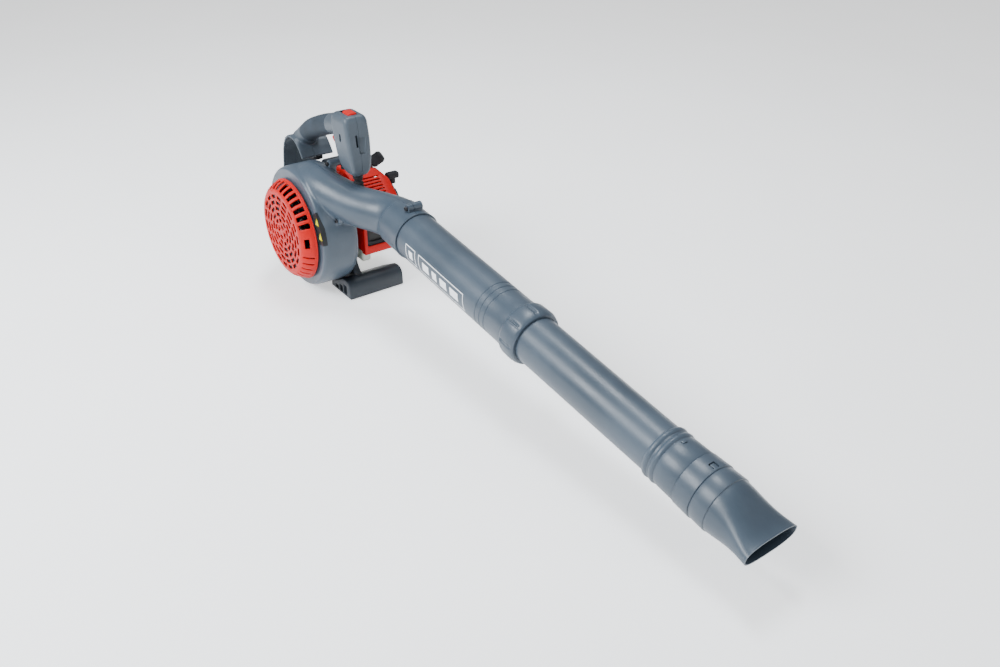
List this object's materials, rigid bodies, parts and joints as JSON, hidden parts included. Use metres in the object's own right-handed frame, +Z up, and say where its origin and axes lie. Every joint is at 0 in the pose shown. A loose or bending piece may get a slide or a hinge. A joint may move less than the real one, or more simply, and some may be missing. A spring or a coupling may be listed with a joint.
{
  "type": "hand-held leaf blower",
  "caption": "Hand-held petrol leaf blower with side fan volute, S-shaped duct, two-piece tube, flat turning nozzle, top handle, recoil starter and stand.",
  "frame": {"origin": "centre of the flat bottom face of the stand's front bar", "axes": "+X forwards along the blower tube, +Y to the engine and starter side, +Z up"},
  "size_m": [1.0917, 0.2175, 0.3265],
  "materials": {
    "grey_plastic": "satin moulded plastic",
    "dark_plastic": "fine textured plastic",
    "red_plastic": "satin gloss plastic",
    "black_rubber": "matt rubber",
    "grip_rubber": "soft overmould",
    "tank_plastic": "translucent blow-moulded plastic",
    "aluminium": "die cast",
    "steel": "machined",
    "muffler_steel": "heat-stained",
    "black_screw": "black oxide",
    "filter_foam": "open foam"
  },
  "bodies": {
    "machine": {"volute_outer": "grey_plastic", "volute_inner": "grey_plastic", "volute_screw_1": "black_screw", "volute_screw_2": "black_screw", "volute_screw_3": "black_screw", "volute_screw_4": "black_screw", "volute_screw_5": "black_screw", "volute_screw_6": "black_screw", "clamp_screw": "black_screw", "crankcase_fan_side": "aluminium", "crankcase_starter_side": "aluminium", "front_bearing": "steel", "rear_bearing": "steel", "cylinder": "aluminium", "spark_plug": "steel", "plug_boot": "black_rubber", "muffler": "muffler_steel", "engine_cover": "red_plastic", "carburettor_insulator": "black_rubber", "carburettor": "aluminium", "filter_base": "dark_plastic", "filter_element": "filter_foam", "filter_cover": "dark_plastic", "fuel_tank": "tank_plastic", "starter_housing": "dark_plastic", "stand": "dark_plastic", "handle_right_half": "grey_plastic", "handle_left_half": "grey_plastic", "grip_sleeve": "grip_rubber", "trigger_pin": "steel", "front_mount": "black_rubber", "rear_mount": "black_rubber", "rubber_buffer": "black_rubber", "upper_tube": "grey_plastic", "seal_ring": "black_rubber", "lower_tube": "grey_plastic"},
    "grille": {"intake_grille": "red_plastic"},
    "rotor": {"crankshaft": "steel", "impeller": "dark_plastic", "fan_nut": "steel", "flywheel": "aluminium"},
    "piston": {"piston": "aluminium", "wrist_pin": "steel"},
    "trigger": {"trigger": "red_plastic"},
    "stop_switch": {"stop_switch": "red_plastic"},
    "choke": {"choke_lever": "dark_plastic"},
    "filter_knob": {"filter_knob": "black_rubber"},
    "primer": {"primer_bulb": "tank_plastic"},
    "fuel_cap": {"fuel_cap": "black_rubber"},
    "collar": {"collar_nut": "grey_plastic"},
    "nozzle": {"nozzle": "grey_plastic"},
    "starter_grip": {"starter_grip": "black_rubber"},
    "starter_pulley": {"starter_pulley": "dark_plastic"}
  },
  "joints": [
    {"name": "rotor_spin", "type": "hinge", "parent": "machine", "child": "rotor", "pos_m": [-0.055, 0, 0.115], "axis": [0, 1, 0], "continuous": true},
    {"name": "piston_stroke", "type": "slide", "parent": "machine", "child": "piston", "axis": [0, 0, 1], "range_m": [0, 0.028]},
    {"name": "grille_open", "type": "hinge", "parent": "machine", "child": "grille", "pos_m": [-0.142, -0.103, 0.115], "axis": [0, 0, -1], "range_deg": [0, 90]},
    {"name": "trigger_pull", "type": "hinge", "parent": "machine", "child": "trigger", "pos_m": [0.004, -0.025, 0.28], "axis": [0, 1, 0], "range_deg": [0, 14], "stiffness_Nm_per_rad": 0.05, "springref_deg": -11.46},
    {"name": "stop_switch_slide", "type": "slide", "parent": "machine", "child": "stop_switch", "axis": [-1, 0, 0], "range_m": [0, 0.006]},
    {"name": "choke_turn", "type": "hinge", "parent": "machine", "child": "choke", "pos_m": [-0.124, 0.06, 0.176], "axis": [0, 1, 0], "range_deg": [0, 50]},
    {"name": "filter_knob_turn", "type": "hinge", "parent": "machine", "child": "filter_knob", "pos_m": [-0.148, 0.025, 0.17], "axis": [-1, 0, 0], "continuous": true},
    {"name": "primer_press", "type": "slide", "parent": "machine", "child": "primer", "axis": [0, -1, 0], "range_m": [0, 0.004], "stiffness_N_per_m": 300},
    {"name": "fuel_cap_turn", "type": "hinge", "parent": "machine", "child": "fuel_cap", "pos_m": [-0.138, 0.066, 0.06], "axis": [0, 1, 0], "range_deg": [0, 270]},
    {"name": "collar_turn", "type": "hinge", "parent": "machine", "child": "collar", "pos_m": [0.092, 0, 0.172], "axis": [0.9917, 0, -0.1288], "range_deg": [0, 45]},
    {"name": "nozzle_turn", "type": "hinge", "parent": "machine", "child": "nozzle", "pos_m": [0.092, 0, 0.172], "axis": [0.9917, 0, -0.1288], "range_deg": [-90, 90]},
    {"name": "starter_pull", "type": "slide", "parent": "machine", "child": "starter_grip", "axis": [0, 0, 1], "range_m": [0, 0.5]},
    {"name": "pulley_spin", "type": "hinge", "parent": "machine", "child": "starter_pulley", "pos_m": [-0.055, 0.079, 0.115], "axis": [0, 1, 0], "range_deg": [0, 1303]}
  ],
  "couplings": [
    {"joint": "pulley_spin", "follows": "starter_pull", "rad_per_m": 45.455}
  ]
}
